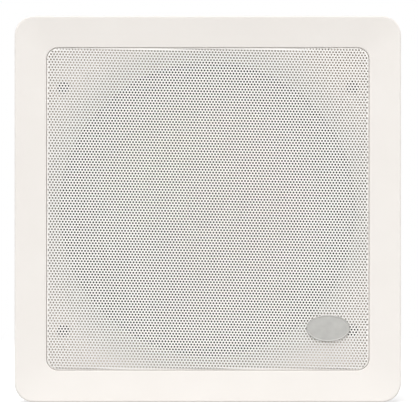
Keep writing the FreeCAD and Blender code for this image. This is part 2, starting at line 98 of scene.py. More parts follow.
# Shared ways of making nodes
def addNode(tree, kind, feeds=None, **settings):
    # a node with its settings; feeds maps an input's name or number to a socket or a plain value
    node = tree.nodes.new(kind)
    for key, value in settings.items():
        setattr(node, key, value)
    for label, value in (feeds or {}).items():
        socket = node.inputs[label]
        if isinstance(value, bpy.types.NodeSocket):
            tree.links.new(value, socket)
        else:
            socket.default_value = value
    return node


def maths(tree, operation, first, second=0.0):
    return addNode(tree, "ShaderNodeMath", {0: first, 1: second}, operation=operation).outputs[0]


def vectors(tree, operation, *feeds):
    return addNode(tree, "ShaderNodeVectorMath", dict(enumerate(feeds)), operation=operation).outputs[0]


def length(tree, place):
    return addNode(tree, "ShaderNodeVectorMath", {0: place}, operation="LENGTH").outputs["Value"]


def offAxis(tree, place):
    # distance from the speaker's axis
    return length(tree, vectors(tree, "MULTIPLY", place, (1, 0, 1)))


# Camera, square on to the grille through a long lens
view = {
    "imageWidth": 418,
    "imageHeight": 420,
    "frameWidth": 248.7 * mm,  # what the picture's width takes in at the bezel
    "distance": 2.0,
    "aimX": 0.70 * mm,
    "aimZ": -0.60 * mm,
}


def addCamera():
    data = bpy.data.cameras.new("camera")
    longSide = view["frameWidth"] * view["imageHeight"] / view["imageWidth"]
    data.lens = data.sensor_width * view["distance"] / longSide
    camera = bpy.data.objects.new("camera", data)
    camera.location = (view["aimX"], cadBox[0].y - view["distance"], view["aimZ"])
    camera.rotation_euler = (math.radians(90), 0, 0)
    scene.collection.objects.link(camera)
    scene.camera = camera


# Studio: a white room and floor, a broad key from high in front, fills beside the camera, lamps behind
studio = {
    "skyLight": 0.21,
    "floorWidth": 12.0,
    "floorTone": 0.62,
    "floorGlow": 0.45,  # only to the eye, so that the lit floor is white and the shadow stays
    "floorFade": (0.4, 1.0),  # how far out the floor passes into the white room
    "lamps": {
        "key": {"place": (-0.30, -1.35, 2.70), "spread": 40, "power": 2.52},
        "frontRight": {"place": (1.10, -2.80, 0.30), "width": 0.6, "power": 11.5},
        "frontLeft": {"place": (-1.10, -2.80, 0.30), "width": 0.6, "power": 11.5},
        "rear": {"place": (-0.95, 1.80, 0.85), "width": 1.4, "power": 25.0},
        "side": {"place": (1.60, 0.70, 0.60), "width": 1.0, "power": 9.4},
    },
}


def seenDirectly(tree):
    # 1 for rays that show the background itself or its mirror image, else 0
    path = addNode(tree, "ShaderNodeLightPath").outputs
    answer = path["Is Camera Ray"]
    for ray in ("Is Glossy Ray", "Is Transmission Ray"):
        answer = maths(tree, "MAXIMUM", answer, path[ray])
    return answer


def addWorld():
    world = bpy.data.worlds.new("studio")
    scene.world = world
    world.use_nodes = True
    tree = world.node_tree
    tree.nodes.clear()
    skies = [addNode(tree, "ShaderNodeBackground", {"Color": (1, 1, 1, 1), "Strength": strength}).outputs[0]
             for strength in (studio["skyLight"], 1.0)]
    mix = addNode(tree, "ShaderNodeMixShader", {0: seenDirectly(tree), 1: skies[0], 2: skies[1]})
    addNode(tree, "ShaderNodeOutputWorld", {"Surface": mix.outputs[0]})


def addFloor():
    material = bpy.data.materials.new("floor")
    material.use_nodes = True
    tree = material.node_tree
    tree.nodes.clear()
    paint = addNode(tree, "ShaderNodeBsdfDiffuse", {"Color": (*[studio["floorTone"]] * 3, 1)}).outputs[0]
    glow = addNode(tree, "ShaderNodeEmission", {"Strength": studio["floorGlow"]}).outputs[0]
    lit = addNode(tree, "ShaderNodeAddShader", {0: paint, 1: glow}).outputs[0]
    white = addNode(tree, "ShaderNodeEmission").outputs[0]
    distance = length(tree, addNode(tree, "ShaderNodeTexCoord").outputs["Object"])
    near, far = studio["floorFade"]
    fade = addNode(tree, "ShaderNodeMapRange",
                   {"Value": distance, "From Min": near, "From Max": far}).outputs["Result"]
    seen = addNode(tree, "ShaderNodeMixShader", {0: fade, 1: lit, 2: white}).outputs[0]
    mix = addNode(tree, "ShaderNodeMixShader", {0: seenDirectly(tree), 1: paint, 2: seen}).outputs[0]
    addNode(tree, "ShaderNodeOutputMaterial", {"Surface": mix})
    half = studio["floorWidth"] / 2
    corners = [(-half, -half), (half, -half), (half, half), (-half, half)]
    mesh = bpy.data.meshes.new("floor")
    mesh.from_pydata([(x, y, cadBox[0].z) for x, y in corners], [], [(0, 1, 2, 3)])
    mesh.materials.append(material)
    floor = bpy.data.objects.new("floor", mesh)
    scene.collection.objects.link(floor)


def addLamps():
    for name, lamp in studio["lamps"].items():
        data = bpy.data.lights.new(name, "SUN" if "spread" in lamp else "AREA")
        if "spread" in lamp:
            data.angle = math.radians(lamp["spread"])
        else:
            data.size = lamp["width"]
        data.energy = lamp["power"]
        light = bpy.data.objects.new(name, data)
        light.location = lamp["place"]
        light.rotation_euler = (-light.location).to_track_quat("-Z", "Y").to_euler()
        scene.collection.objects.link(light)


addCamera()
addWorld()
addFloor()
addLamps()
print("camera and studio set")


# Patterns that the finishes are made of, each a grey socket read in Object coordinates
def noise(tree, place, size, detail, stretch=None):
    if stretch:
        place = addNode(tree, "ShaderNodeMapping", {"Vector": place, "Scale": stretch}).outputs["Vector"]
    return addNode(tree, "ShaderNodeTexNoise",
                   {"Vector": place, "Scale": 1 / size, "Detail": detail}).outputs[0]


def pebbled(tree, place, size):
    return noise(tree, place, size, 4)


def brushed(tree, place, size):
    return noise(tree, place, size, 3, (0.05, 1, 1))


def toolMarked(tree, place, size):
    # rings that a lathe tool leaves about the speaker's axis
    return addNode(tree, "ShaderNodeTexNoise", {"W": offAxis(tree, place), "Scale": 1 / size, "Detail": 3},
                   noise_dimensions="1D").outputs[0]


def bands(tree, place, size, direction):
    waveFactor = 20  # the wave texture's own
    return addNode(tree, "ShaderNodeTexWave",
                   {"Vector": place, "Scale": 2 * math.pi / waveFactor / size, "Distortion": 0.6},
                   bands_direction=direction).outputs["Fac"]


def woven(tree, place, size):
    return maths(tree, "MAXIMUM", bands(tree, place, size, "X"), bands(tree, place, size, "Z"))


def wound(tree, place, size):
    return bands(tree, place, size, "Y")


# Finishes, one for each material slot. grain is the size of the fine pattern and relief its height,
# patch the size of the slow drift from colour to shade, edge the radius that softens corners,
# and the painted shade in hollows the shares of the colour kept in boxes, each from a low to a high corner
# in every quarter, and there from near to far between two radii off the axis.
clampWell = {"radii": (86 * mm, 112 * mm), "x": (82.4 * mm, 90.2 * mm), "z": (68.7 * mm, 76.5 * mm)}


def wellPaintedShade(share, front, rear):
    # painted shade: one share of the colour kept round the clamp screws, between two depths
    (left, right), (below, above) = clampWell["x"], clampWell["z"]
    return {"near": share, "far": share, "radii": clampWell["radii"],
            "low": (left, front, below), "high": (right, rear, above)}


finishLooks = {
    "ivory_abs": {
        "colour": (0.838, 0.802, 0.763), "shade": (0.819, 0.781, 0.740), "patch": 45 * mm,
        "pattern": pebbled, "grain": 0.5 * mm, "relief": 0.005 * mm,
        "rough": (0.42, 0.56), "edge": 0.4 * mm,
        "paintedShades": (
            {"near": (0.33, 0.30, 0.28), "far": (0.97, 0.92, 0.86), "radii": (86 * mm, 112 * mm),
             "low": (0, -1.6 * mm, 0), "high": (95 * mm, 0.4 * mm, 95 * mm)},  # painted shade on the baffle's face, darkest next to the driver
            {"near": (0.25, 0.23, 0.22), "far": (1, 1, 1), "radii": (89.3 * mm, 89.4 * mm),
             "low": (0, 0.4 * mm, 0), "high": (95 * mm, 8.1 * mm, 95 * mm)},  # painted shade in the driver's well
            wellPaintedShade((0.30, 0.29, 0.28), 0.4 * mm, 5.1 * mm),  # painted shade in the clamp screws' wells
        ),
    },
    "white_powder_coat": {
        "colour": (0.930, 0.905, 0.872), "shade": (0.915, 0.888, 0.852), "patch": 30 * mm,
        "pattern": pebbled, "grain": 0.7 * mm, "relief": 0.003 * mm,
        "rough": (0.36, 0.50),
    },
    "satin_badge": {
        "colour": (0.418, 0.414, 0.395), "shade": (0.367, 0.362, 0.346), "patch": 6 * mm,
        "pattern": brushed, "grain": 0.25 * mm, "relief": 0.006 * mm,
        "rough": (0.42, 0.54), "metal": 0.6,
    },
    "black_foam": {
        "colour": (0.022, 0.022, 0.022), "shade": (0.014, 0.014, 0.014), "patch": 3 * mm,
        "pattern": pebbled, "grain": 0.6 * mm, "relief": 0.15 * mm,
        "rough": (0.85, 0.95),
    },
    "black_steel": {
        "colour": (0.020, 0.020, 0.021), "shade": (0.014, 0.014, 0.015), "patch": 20 * mm,
        "pattern": pebbled, "grain": 0.9 * mm, "relief": 0.02 * mm,
        "rough": (0.34, 0.50), "edge": 0.5 * mm,
    },
    "black_rubber": {
        "colour": (0.020, 0.020, 0.021), "shade": (0.014, 0.014, 0.014), "patch": 12 * mm,
        "pattern": pebbled, "grain": 0.3 * mm, "relief": 0.01 * mm,
        "rough": (0.52, 0.68),
    },
    "black_cone": {
        "colour": (0.024, 0.024, 0.026), "shade": (0.016, 0.016, 0.017), "patch": 10 * mm,
        "pattern": pebbled, "grain": 1.2 * mm, "relief": 0.05 * mm,
        "rough": (0.55, 0.75),
    },
    "bare_aluminium": {
        "colour": (0.700, 0.700, 0.710), "shade": (0.620, 0.620, 0.635), "patch": 8 * mm,
        "pattern": toolMarked, "grain": 0.5 * mm, "relief": 0.01 * mm,
        "rough": (0.26, 0.42), "metal": 1.0,
    },
    "copper_wire": {
        "colour": (0.640, 0.270, 0.105), "shade": (0.520, 0.195, 0.070), "patch": 4 * mm,
        "pattern": wound, "grain": 0.5 * mm, "relief": 0.04 * mm,
        "rough": (0.24, 0.38), "metal": 1.0,
    },
    "spider_cloth": {
        "colour": (0.470, 0.325, 0.130), "shade": (0.380, 0.250, 0.090), "patch": 9 * mm,
        "pattern": woven, "grain": 0.8 * mm, "relief": 0.12 * mm,
        "rough": (0.78, 0.92),
    },
    "zinc_steel": {
        "colour": (0.640, 0.650, 0.660), "shade": (0.560, 0.560, 0.545), "patch": 14 * mm,
        "pattern": toolMarked, "grain": 0.6 * mm, "relief": 0.012 * mm,
        "rough": (0.24, 0.42), "metal": 1.0, "edge": 0.4 * mm,
    },
    "ferrite": {
        "colour": (0.055, 0.055, 0.058), "shade": (0.036, 0.036, 0.038), "patch": 5 * mm,
        "pattern": pebbled, "grain": 0.8 * mm, "relief": 0.05 * mm,
        "rough": (0.48, 0.68), "edge": 0.7 * mm,
    },
    "black_screw": {
        "colour": (0.060, 0.060, 0.063), "shade": (0.040, 0.040, 0.042), "patch": 2 * mm,
        "pattern": pebbled, "grain": 0.3 * mm, "relief": 0.01 * mm,
        "rough": (0.32, 0.46), "metal": 1.0,
    },
    "brown_phenolic": {
        "colour": (0.205, 0.095, 0.038), "shade": (0.160, 0.068, 0.024), "patch": 3 * mm,
        "pattern": brushed, "grain": 0.4 * mm, "relief": 0.02 * mm,
        "rough": (0.40, 0.60), "edge": 0.2 * mm,
    },
    "tinned_brass": {
        "colour": (0.720, 0.560, 0.290), "shade": (0.640, 0.470, 0.220), "patch": 2 * mm,
        "pattern": brushed, "grain": 0.2 * mm, "relief": 0.008 * mm,
        "rough": (0.24, 0.40), "metal": 1.0,
    },
    "black_abs": {
        "colour": (0.022, 0.022, 0.023), "shade": (0.016, 0.016, 0.017), "patch": 12 * mm,
        "pattern": pebbled, "grain": 0.4 * mm, "relief": 0.02 * mm,
        "rough": (0.38, 0.54), "edge": 0.3 * mm,
    },
    "nickel_magnet": {
        "colour": (0.660, 0.640, 0.600), "shade": (0.600, 0.575, 0.530), "patch": 4 * mm,
        "pattern": toolMarked, "grain": 0.4 * mm, "relief": 0.006 * mm,
        "rough": (0.18, 0.30), "metal": 1.0,
    },
    "silk_dome": {
        "colour": (0.024, 0.024, 0.027), "shade": (0.016, 0.016, 0.018), "patch": 3 * mm,
        "pattern": woven, "grain": 0.3 * mm, "relief": 0.03 * mm,
        "rough": (0.60, 0.80),
    },
    "circuit_board": {
        "colour": (0.330, 0.200, 0.078), "shade": (0.275, 0.155, 0.055), "patch": 7 * mm,
        "pattern": woven, "grain": 0.5 * mm, "relief": 0.01 * mm,
        "rough": (0.42, 0.58), "edge": 0.2 * mm,
    },
    "zinc_screw": {
        "colour": (0.660, 0.660, 0.650), "shade": (0.580, 0.570, 0.530), "patch": 2 * mm,
        "pattern": pebbled, "grain": 0.4 * mm, "relief": 0.01 * mm,
        "rough": (0.24, 0.40), "metal": 1.0,
        "paintedShades": (wellPaintedShade((0.12, 0.12, 0.13), 4.5 * mm, 8.2 * mm),),  # painted shade on the clamp screws' heads, deep in their wells
    },
    "yellow_film": {
        "colour": (0.700, 0.440, 0.050), "shade": (0.620, 0.370, 0.035), "patch": 5 * mm,
        "pattern": pebbled, "grain": 1.5 * mm, "relief": 0.03 * mm,
        "rough": (0.20, 0.32),
    },
    "white_ceramic": {
        "colour": (0.700, 0.690, 0.650), "shade": (0.610, 0.600, 0.560), "patch": 2 * mm,
        "pattern": pebbled, "grain": 0.6 * mm, "relief": 0.06 * mm,
        "rough": (0.66, 0.86), "edge": 0.3 * mm,
    },
    "red_lever": {
        "colour": (0.420, 0.018, 0.016), "shade": (0.360, 0.014, 0.012), "patch": 4 * mm,
        "pattern": pebbled, "grain": 0.4 * mm, "relief": 0.01 * mm,
        "rough": (0.26, 0.40), "edge": 0.3 * mm,
    },
    "black_lever": {
        "colour": (0.020, 0.020, 0.021), "shade": (0.015, 0.015, 0.015), "patch": 4 * mm,
        "pattern": pebbled, "grain": 0.4 * mm, "relief": 0.01 * mm,
        "rough": (0.26, 0.40), "edge": 0.3 * mm,
    },
    "clamp_nylon": {
        "colour": (0.058, 0.058, 0.062), "shade": (0.044, 0.044, 0.047), "patch": 6 * mm,
        "pattern": pebbled, "grain": 0.5 * mm, "relief": 0.03 * mm,
        "rough": (0.42, 0.60), "edge": 0.4 * mm,
    },
}


noiseMiddle = (0.3, 0.7)  # most of a noise's values lie between these


def ramp(tree, source, low, high):
    # spreads a noise's middle values from low to high
    least, most = noiseMiddle
    return addNode(tree, "ShaderNodeMapRange", {
        "Value": source, "From Min": least, "From Max": most, "To Min": low, "To Max": high,
    }).outputs["Result"]


def insideBox(tree, place, low, high):
    # 1 inside the box or its mirror images to the left and below, else 0
    apart = addNode(tree, "ShaderNodeSeparateXYZ", {0: place}).outputs
    answer = 1.0
    for axis in range(3):
        side = apart[axis] if axis == 1 else maths(tree, "ABSOLUTE", apart[axis])
        middle, reach = (low[axis] + high[axis]) / 2, (high[axis] - low[axis]) / 2
        within = addNode(tree, "ShaderNodeMath", {0: side, 1: middle, 2: reach}, operation="COMPARE")
        answer = maths(tree, "MINIMUM", within.outputs[0], answer)
    return answer


def paintedShadeTone(tree, place, shadeBox):
    # painted shade: the share of the colour that is kept, 1 outside the box, and inside it from near to far
    # off the axis
    near, far = Vector(shadeBox["near"]), Vector(shadeBox["far"])
    nearest, farthest = shadeBox["radii"]
    spread = addNode(tree, "ShaderNodeMapRange",
                     {"Value": offAxis(tree, place), "From Min": nearest, "From Max": farthest},
                     interpolation_type="SMOOTHSTEP").outputs["Result"]
    whole = Vector((1, 1, 1))
    change = vectors(tree, "MULTIPLY_ADD", spread, far - near, near - whole)
    inside = insideBox(tree, place, shadeBox["low"], shadeBox["high"])
    return vectors(tree, "MULTIPLY_ADD", inside, change, whole)


def makeFinish(name, look):
    material = bpy.data.materials.new(name)
    material.use_nodes = True
    tree = material.node_tree
    shader = tree.nodes["Principled BSDF"]
    place = addNode(tree, "ShaderNodeTexCoord").outputs["Object"]
    fine = look["pattern"](tree, place, look["grain"])
    drift = ramp(tree, noise(tree, place, look["patch"], 3), 0, 1)
    mix = addNode(tree, "ShaderNodeMix", {0: drift}, data_type="RGBA")
    colourSockets = [s for s in mix.inputs if s.type == "RGBA"]
    for socket, tone in zip(colourSockets, ("colour", "shade")):
        socket.default_value = (*look[tone], 1)
    colour = [s for s in mix.outputs if s.type == "RGBA"][0]
    # painted shade in hollows, multiplied into the colour inside its boxes
    for shadeBox in look.get("paintedShades", ()):
        colour = vectors(tree, "MULTIPLY", colour, paintedShadeTone(tree, place, shadeBox))
    tree.links.new(colour, shader.inputs["Base Color"])
    tree.links.new(ramp(tree, fine, *look["rough"]), shader.inputs["Roughness"])
    bump = addNode(tree, "ShaderNodeBump", {"Strength": 1.0, "Distance": look["relief"], "Height": fine})
    if "edge" in look:
        soften = addNode(tree, "ShaderNodeBevel", {"Radius": look["edge"]})
        tree.links.new(soften.outputs[0], bump.inputs["Normal"])
    tree.links.new(bump.outputs[0], shader.inputs["Normal"])
    shader.inputs["Metallic"].default_value = look.get("metal", 0.0)
    return material


finishes = {name: makeFinish(name, look) for name, look in finishLooks.items()}
slotOf = {subpart["node"]: subpart["material_slot"] for subpart in frame["record"]["subparts"]}
for name, slot in slotOf.items():
    materials = nodes[name].data.materials
    materials.clear()
    materials.append(finishes[slot])
print("finishes made:", len(finishes))


# Shared ways of making pieces
def showMesh(name, mesh, slot, smoothBelow):
    # in the slot's finish, and smooth but for corners sharper than smoothBelow degrees
    mesh.shade_smooth()
    mesh.set_sharp_from_angle(angle=math.radians(smoothBelow))
    mesh.materials.clear()
    mesh.materials.append(finishes[slot])
    piece = bpy.data.objects.new(name, mesh)
    scene.collection.objects.link(piece)
    return piece


def keepPiece(name, mesh, node, smoothBelow=35):
    # in the node's place, with its finish and on its body
    piece = showMesh(name, mesh, slotOf[node], smoothBelow)
    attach(piece, nodes[node]["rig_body"])
    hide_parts(node)


def plainMesh(carrier):
    # what a carrier object shows, as a mesh of its own; the carrier goes
    scene.collection.objects.link(carrier)
    mesh = bpy.data.meshes.new_from_object(carrier.evaluated_get(bpy.context.evaluated_depsgraph_get()))
    bpy.data.objects.remove(carrier)
    return mesh


def paintedOut(tree, shape, slot):
    # ends a tree with plain geometry in the slot's finish
    plain = addNode(tree, "GeometryNodeRealizeInstances", {"Geometry": shape}).outputs[0]
    painted = addNode(tree, "GeometryNodeSetMaterial",
                      {"Geometry": plain, "Material": finishes[slot]}).outputs[0]
    addNode(tree, "NodeGroupOutput", {"Geometry": painted})


def vectorFrom(tree, parts):
    return addNode(tree, "ShaderNodeCombineXYZ", parts).outputs[0]


def moved(tree, shape, change):
    return addNode(tree, "GeometryNodeTransform", {"Geometry": shape, **change}).outputs[0]


def pointPlace(tree):
    spot = addNode(tree, "GeometryNodeInputPosition").outputs[0]
    return addNode(tree, "ShaderNodeSeparateXYZ", {0: spot}).outputs


def solidsBy(tree, operation, *solids):
    node = addNode(tree, "GeometryNodeMeshBoolean", operation=operation, solver="MANIFOLD")
    for solid in solids:
        tree.links.new(solid, node.inputs["Mesh 2"])
    return node.outputs[0]


def cutSolid(tree, solid, *cutters):
    node = addNode(tree, "GeometryNodeMeshBoolean", {"Mesh 1": solid},
                   operation="DIFFERENCE", solver="MANIFOLD")
    for cutter in cutters:
        tree.links.new(cutter, node.inputs["Mesh 2"])
    return node.outputs[0]


def newTree(name, sizes):
    # an empty node tree with one named input for each size
    tree = bpy.data.node_groups.new(name, "GeometryNodeTree")
    tree.interface.new_socket("Geometry", in_out="INPUT", socket_type="NodeSocketGeometry")
    for label, value in sizes.items():
        kind = "NodeSocketInt" if isinstance(value, int) else "NodeSocketFloat"
        tree.interface.new_socket(label, in_out="INPUT", socket_type=kind)
    tree.interface.new_socket("Geometry", in_out="OUTPUT", socket_type="NodeSocketGeometry")
    return tree


def runTree(tree, startMesh, sizes):
    # the tree's result on a start mesh, as a plain mesh
    carrier = bpy.data.objects.new(tree.name, startMesh)
    modifier = carrier.modifiers.new(tree.name, "NODES")
    modifier.node_group = tree
    for socket in tree.interface.items_tree:
        if socket.in_out == "INPUT" and socket.name in sizes:
            modifier[socket.identifier] = sizes[socket.name]
    return plainMesh(carrier)


def squareLoop(half, corner, steps):
    points = []
    for quarter in range(4):
        side = 1 if quarter in (0, 3) else -1
        level = 1 if quarter in (0, 1) else -1
        for step in range(steps + 1):
            angle = math.radians(90 * (quarter + step / steps))
            points.append((side * (half - corner) + corner * math.cos(angle),
                           level * (half - corner) + corner * math.sin(angle)))
    return points


def stackLoops(loops, ring=False):
    # a closed skin over loops of (x, y, z) points, each with the same count; a ring ends where it starts
    shape = bmesh.new()
    rows = [[shape.verts.new(point) for point in loop] for loop in loops]
    count = len(rows[0])
    for lower, upper in zip(rows, rows[1:] + rows[:1] if ring else rows[1:]):
        for i in range(count):
            j = (i + 1) % count
            shape.faces.new((lower[i], lower[j], upper[j], upper[i]))
    if not ring:
        shape.faces.new(rows[0])
        shape.faces.new(rows[-1])
    bmesh.ops.recalc_face_normals(shape, faces=shape.faces)
    mesh = bpy.data.meshes.new("stack")
    shape.to_mesh(mesh)
    shape.free()
    return mesh


def turnedLoops(profile, centre, sides, axis="Y"):
    # loops round an axis through centre, from (radius, distance along) pairs
    loops = []
    for radius, along in profile:
        loop = []
        for step in range(sides):
            angle = 2 * math.pi * step / sides
            across, up = radius * math.cos(angle), radius * math.sin(angle)
            offset = (across, along, up) if axis == "Y" else (along, across, up)
            loop.append(Vector(centre) + Vector(offset))
        loops.append(loop)
    return loops


# Grille: a pressed pan of sheet steel, punched all over by a node tree, in bands that share their cuts
grille = {
    "sheet": 0.8 * mm,
    "fold": 1.0 * mm,
    "corner": 6.95 * mm,
    "cornerSteps": 6,
    "foldSteps": 4,
    "pitch": 1.815 * mm,
    "rowGap": 1.556 * mm,
    "hole": 1.18 * mm,
    "smallestHole": 0.2 * mm,  # at the field's very edge
    "holeSides": 8,
    "turn": 1.2,  # degrees that the rows fall to the right
    "fieldInset": 0.45 * mm,  # from the pan's edge to the centres of the outermost holes
    "spareRows": 8,  # so that the turned field still covers the pan
    "punchDepth": 2.4 * mm,
    "bandEdges": (-100 * mm, -31.4 * mm, 31.4 * mm, 100 * mm),  # the outermost lie clear of the pan
    "bandNames": ("grille_lower", "grille_middle", "grille_upper"),
}


def panMesh():
    low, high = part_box("grille")
    half, sheet, fold = high.x, grille["sheet"], grille["fold"]

    def bend(radius, order):
        loops = []
        for step in order:
            angle = math.radians(90 * step / grille["foldSteps"])
            inset = fold - radius * math.sin(angle)
            outline = squareLoop(half - inset, grille["corner"] - inset, grille["cornerSteps"])
            depth = low.y + fold - radius * math.cos(angle)
            loops.append([(x, depth, z) for x, z in outline])
        return loops

    steps = range(grille["foldSteps"] + 1)
    skirt = []
    for inset in (0, sheet):
        outline = squareLoop(half - inset, grille["corner"] - inset, grille["cornerSteps"])
        skirt.append([(x, high.y, z) for x, z in outline])
    return stackLoops(bend(fold, steps) + skirt + bend(fold - sheet, reversed(steps)))


def perforationTree():
    tree = newTree("perforation", {
        "Pitch": 1.0, "Row Gap": 1.0, "Hole": 1.0, "Smallest Hole": 1.0, "Sides": 1, "Turn": 1.0,
        "Field Half": 1.0, "Field Corner": 1.0, "Columns": 1, "Rows": 1, "Sheet Middle": 1.0,
        "Punch Depth": 1.0, "Band Low": 1.0, "Band High": 1.0, "Reach": 1.0,
    })
    given = addNode(tree, "NodeGroupInput").outputs

    def centredLine(count, gap, axis):
        span = maths(tree, "MULTIPLY", maths(tree, "SUBTRACT", count, 1.0), gap)
        start = vectorFrom(tree, {axis: maths(tree, "MULTIPLY", span, -0.5)})
        step = vectorFrom(tree, {axis: gap})
        return addNode(tree, "GeometryNodeMeshLine",
                       {"Count": count, "Start Location": start, "Offset": step}).outputs[0]

    row = centredLine(given["Columns"], given["Pitch"], "X")
    rows = centredLine(given["Rows"], given["Row Gap"], "Z")
    field = addNode(tree, "GeometryNodeInstanceOnPoints", {"Points": rows, "Instance": row}).outputs[0]
    odd = maths(tree, "MODULO", addNode(tree, "GeometryNodeInputIndex").outputs[0], 2.0)
    shift = maths(tree, "MULTIPLY", maths(tree, "MULTIPLY", odd, 0.5), given["Pitch"])
    field = addNode(tree, "GeometryNodeTranslateInstances",
                    {"Instances": field, "Translation": vectorFrom(tree, {"X": shift})}).outputs[0]
    field = addNode(tree, "GeometryNodeRealizeInstances", {"Geometry": field}).outputs[0]
    field = moved(tree, field, {"Rotation": vectorFrom(tree, {"Y": given["Turn"]})})
    # holes outside the round-cornered field, or clear of this band, are left out
    place = pointPlace(tree)
    flatHalf = maths(tree, "SUBTRACT", given["Field Half"], given["Field Corner"])
    past = [maths(tree, "MAXIMUM", maths(tree, "SUBTRACT", maths(tree, "ABSOLUTE", place[axis]), flatHalf))
            for axis in ("X", "Z")]
    outside = maths(tree, "POWER", maths(tree, "ADD", *[maths(tree, "POWER", p, 2.0) for p in past]), 0.5)
    tooFar = maths(tree, "GREATER_THAN", outside, given["Field Corner"])
    below = maths(tree, "LESS_THAN", place["Z"], maths(tree, "SUBTRACT", given["Band Low"], given["Pitch"]))
    above = maths(tree, "GREATER_THAN", place["Z"], maths(tree, "ADD", given["Band High"], given["Pitch"]))
    unwanted = maths(tree, "MAXIMUM", tooFar, maths(tree, "MAXIMUM", below, above))
    field = addNode(tree, "GeometryNodeDeleteGeometry", {"Geometry": field, "Selection": unwanted}).outputs[0]
    # one punch per hole, smaller where the edge is near
    radius = maths(tree, "MULTIPLY", given["Hole"], 0.5)
    room = maths(tree, "SUBTRACT", given["Field Corner"], outside)
    room = maths(tree, "ADD", room, maths(tree, "MULTIPLY", given["Smallest Hole"], 0.5))
    share = maths(tree, "MINIMUM", maths(tree, "DIVIDE", room, radius), 1.0)
    shares = vectorFrom(tree, {"X": share, "Y": 1.0, "Z": share})
    punch = addNode(tree, "GeometryNodeMeshCylinder",
                    {"Vertices": given["Sides"], "Radius": radius, "Depth": given["Punch Depth"]}).outputs[0]
    level = vectorFrom(tree, {"Y": given["Sheet Middle"]})
    punch = moved(tree, punch, {"Translation": level, "Rotation": (math.radians(90), 0, 0)})
    punches = addNode(tree, "GeometryNodeInstanceOnPoints",
                      {"Points": field, "Instance": punch, "Scale": shares}).outputs[0]
    punches = addNode(tree, "GeometryNodeRealizeInstances", {"Geometry": punches}).outputs[0]
    # the band of the pan that this run makes
    height = maths(tree, "SUBTRACT", given["Band High"], given["Band Low"])
    middle = maths(tree, "MULTIPLY", maths(tree, "ADD", given["Band High"], given["Band Low"]), 0.5)
    size = vectorFrom(tree, {"X": given["Reach"], "Y": given["Reach"], "Z": height})
    slab = addNode(tree, "GeometryNodeMeshCube", {"Size": size}).outputs[0]
    slab = moved(tree, slab, {"Translation": vectorFrom(tree, {"Z": middle})})
    band = solidsBy(tree, "INTERSECT", given["Geometry"], slab)
    paintedOut(tree, cutSolid(tree, band, punches), slotOf["grille"])
    return tree


def addGrille():
    low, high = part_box("grille")
    width = high.x - low.x
    tree = perforationTree()
    for name, bandLow, bandHigh in zip(grille["bandNames"], grille["bandEdges"], grille["bandEdges"][1:]):
        mesh = runTree(tree, panMesh(), {
            "Pitch": grille["pitch"], "Row Gap": grille["rowGap"], "Hole": grille["hole"],
            "Smallest Hole": grille["smallestHole"], "Sides": grille["holeSides"],
            "Turn": math.radians(grille["turn"]),
            "Field Half": width / 2 - grille["fieldInset"],
            "Field Corner": grille["corner"] - grille["fieldInset"],
            "Columns": int(width / grille["pitch"]) + grille["spareRows"],
            "Rows": int(width / grille["rowGap"]) + grille["spareRows"],
            "Sheet Middle": low.y + grille["sheet"] / 2, "Punch Depth": grille["punchDepth"],
            "Band Low": bandLow, "Band High": bandHigh, "Reach": 2 * width,
        })
        keepPiece(name, mesh, "grille")
        print(name, "faces", len(mesh.polygons))


addGrille()


# Badge: a bare satin oval with a raised rim
badge = {
    "around": 96,
    "rimWidth": 0.9 * mm,
    "rimDrop": 0.22 * mm,  # how far the field lies behind the rim
    "crown": 0.12 * mm,
}


def addBadge():
    low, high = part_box("badge")
    centre = (low + high) / 2
    reachX, reachZ = (high.x - low.x) / 2, (high.z - low.z) / 2
    rim, drop, front = badge["rimWidth"], badge["rimDrop"], low.y
    field = front + drop

    def oval(inset, depth, share=1.0):
        loop = []
        for step in range(badge["around"]):
            angle = 2 * math.pi * step / badge["around"]
            loop.append((centre.x + share * (reachX - inset) * math.cos(angle), depth,
                         centre.z + share * (reachZ - inset) * math.sin(angle)))
        return loop

    # up the edge, over the rounded rim and down to the field
    loops = [oval(0.1 * rim, high.y), oval(0, high.y - 0.2 * rim), oval(0, front + 0.45 * rim)]
    loops += [oval(0.08 * rim, front + 0.2 * rim), oval(0.25 * rim, front + 0.05 * rim)]
    loops += [oval(0.45 * rim, front), oval(0.7 * rim, front + 0.3 * drop)]
    loops += [oval(rim, field), oval(1.3 * rim, field)]
    for share in (0.75, 0.5, 0.25, 0.05):
        loops.append(oval(1.3 * rim, field - badge["crown"] * (1 - share ** 2), share))
    keepPiece("badge_oval", stackLoops(loops), "badge", smoothBelow=50)


addBadge()
print("grille and badge made")


# Screws: one tree cuts a thread on a rod, domes a head, sinks its cross and sets one at each place
screws = {
    "clamp": {
        "Head": 3.5 * mm, "Head Height": 2.8 * mm, "Crest": 2.0 * mm, "Root": 1.64 * mm, "Thread": 0.7 * mm,
        "Cross Length": 2.1 * mm, "Cross Width": 0.5 * mm, "Cross Depth": 1.5 * mm, "Tip": 1.2 * mm,
    },
    "driver": {
        "Head": 3.0 * mm, "Head Height": 2.0 * mm, "Crest": 1.6 * mm, "Root": 1.15 * mm, "Thread": 1.2 * mm,
        "Cross Length": 1.7 * mm, "Cross Width": 0.4 * mm, "Cross Depth": 1.1 * mm, "Tip": 2.4 * mm,
    },
    "board": {
        "Head": 2.8 * mm, "Head Height": 1.8 * mm, "Crest": 1.2 * mm, "Root": 0.9 * mm, "Thread": 0.9 * mm,
        "Cross Length": 1.5 * mm, "Cross Width": 0.35 * mm, "Cross Depth": 1.0 * mm, "Tip": 1.8 * mm,
    },
    "stepsPerTurn": 6,
    "sides": 16,
    "headSides": 24,
    "headSteps": 5,
    "leadIn": 0.5 * mm,  # how far the shank reaches into the head
    "crestFlat": 1.25,  # above 1, the ridge has a flat top
    "tipShare": 0.55,  # of the radius, left at the tip
    "headTaper": 0.3,  # of the radius, lost at the head's top
}


